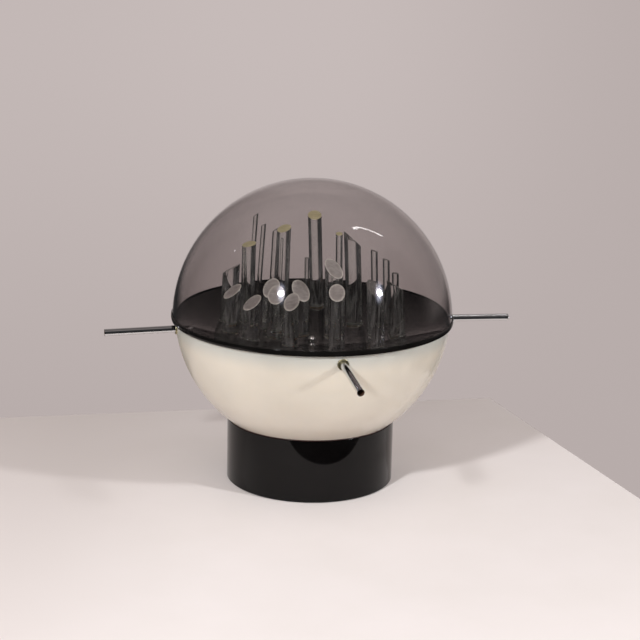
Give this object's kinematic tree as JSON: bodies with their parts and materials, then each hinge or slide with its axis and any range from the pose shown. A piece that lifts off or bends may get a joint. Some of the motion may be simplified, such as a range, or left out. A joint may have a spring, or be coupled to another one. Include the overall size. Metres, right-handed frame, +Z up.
{
  "type": "sculptural table lamp",
  "caption": "Table lamp: black drum base, opal glass bowl with chrome side tubes, and a black tray of obliquely cut clear glass rods under a smoked dome.",
  "frame": {"origin": "on the table, under the middle of the drum base", "axes": "+Z up along the lamp's axis; the front of the lamp faces -Y"},
  "size_m": [0.5763, 0.5775, 0.4339],
  "materials": {
    "black_enamel": "gloss",
    "plate_steel": "satin",
    "black_rubber": "matte",
    "zinc_steel": "satin",
    "black_nylon": "satin",
    "white_nylon": "satin",
    "brass": "polished",
    "brown_rubber": "matte",
    "opal_glass": "gloss",
    "clear_silicone": "satin",
    "lead_sleeve": "matte",
    "holder_moulding": "satin",
    "bulb_glass": "satin",
    "chrome": "polished",
    "smoked_acrylic": "gloss",
    "clear_glass": "gloss"
  },
  "bodies": {
    "base": {"base_drum": "black_enamel", "base_plate": "plate_steel", "rubber_feet": "black_rubber", "base_screws": "zinc_steel", "cord_bush": "black_nylon", "terminal_block": "white_nylon", "terminal_screws": "brass", "bowl_seal": "brown_rubber", "opal_bowl": "opal_glass", "rim_gasket": "clear_silicone", "clamp_gasket": "clear_silicone", "clamp_washer": "zinc_steel", "bracket_spacer": "zinc_steel", "lamp_bracket": "zinc_steel", "tie_rod": "zinc_steel", "tie_rod_nuts": "zinc_steel", "tie_rod_washers": "zinc_steel", "holder_nuts": "zinc_steel", "internal_leads": "lead_sleeve", "tube_collars": "brass", "tube_seals": "black_rubber", "tube_nuts": "zinc_steel", "lampholder_1": "holder_moulding", "lampholder_2": "holder_moulding", "lampholder_3": "holder_moulding", "tube_1": "chrome", "tube_2": "chrome", "tube_3": "chrome", "tube_4": "chrome"},
    "tray": {"dish": "black_enamel", "rod_grommets": "clear_silicone", "cap_nut": "chrome", "glass_rod_01": "clear_glass", "glass_rod_02": "clear_glass", "glass_rod_03": "clear_glass", "glass_rod_04": "clear_glass", "glass_rod_05": "clear_glass", "glass_rod_06": "clear_glass", "glass_rod_07": "clear_glass", "glass_rod_08": "clear_glass", "glass_rod_09": "clear_glass", "glass_rod_10": "clear_glass", "glass_rod_11": "clear_glass", "glass_rod_12": "clear_glass", "glass_rod_13": "clear_glass", "glass_rod_14": "clear_glass", "glass_rod_15": "clear_glass", "glass_rod_16": "clear_glass", "glass_rod_17": "clear_glass", "glass_rod_18": "clear_glass", "glass_rod_19": "clear_glass", "glass_rod_20": "clear_glass", "glass_rod_21": "clear_glass", "glass_rod_22": "clear_glass", "glass_rod_23": "clear_glass", "glass_rod_24": "clear_glass"},
    "dome": {"dome": "smoked_acrylic"},
    "bulb_1": {"bulb_1": "bulb_glass"},
    "bulb_2": {"bulb_2": "bulb_glass"},
    "bulb_3": {"bulb_3": "bulb_glass"}
  },
  "joints": [
    {"name": "tray_lift", "type": "slide", "parent": "base", "child": "tray", "axis": [0, 0, 1], "range_m": [0, 0.12]},
    {"name": "dome_lift", "type": "slide", "parent": "tray", "child": "dome", "axis": [0, 0, 1], "range_m": [0, 0.16]},
    {"name": "bulb_1_turn", "type": "hinge", "parent": "base", "child": "bulb_1", "pos_m": [0, 0.07, 0.14], "axis": [0, 0, 1], "range_deg": [0, 900]},
    {"name": "bulb_2_turn", "type": "hinge", "parent": "base", "child": "bulb_2", "pos_m": [-0.06062, -0.035, 0.14], "axis": [0, 0, 1], "range_deg": [0, 900]},
    {"name": "bulb_3_turn", "type": "hinge", "parent": "base", "child": "bulb_3", "pos_m": [0.06062, -0.035, 0.14], "axis": [0, 0, 1], "range_deg": [0, 900]}
  ]
}
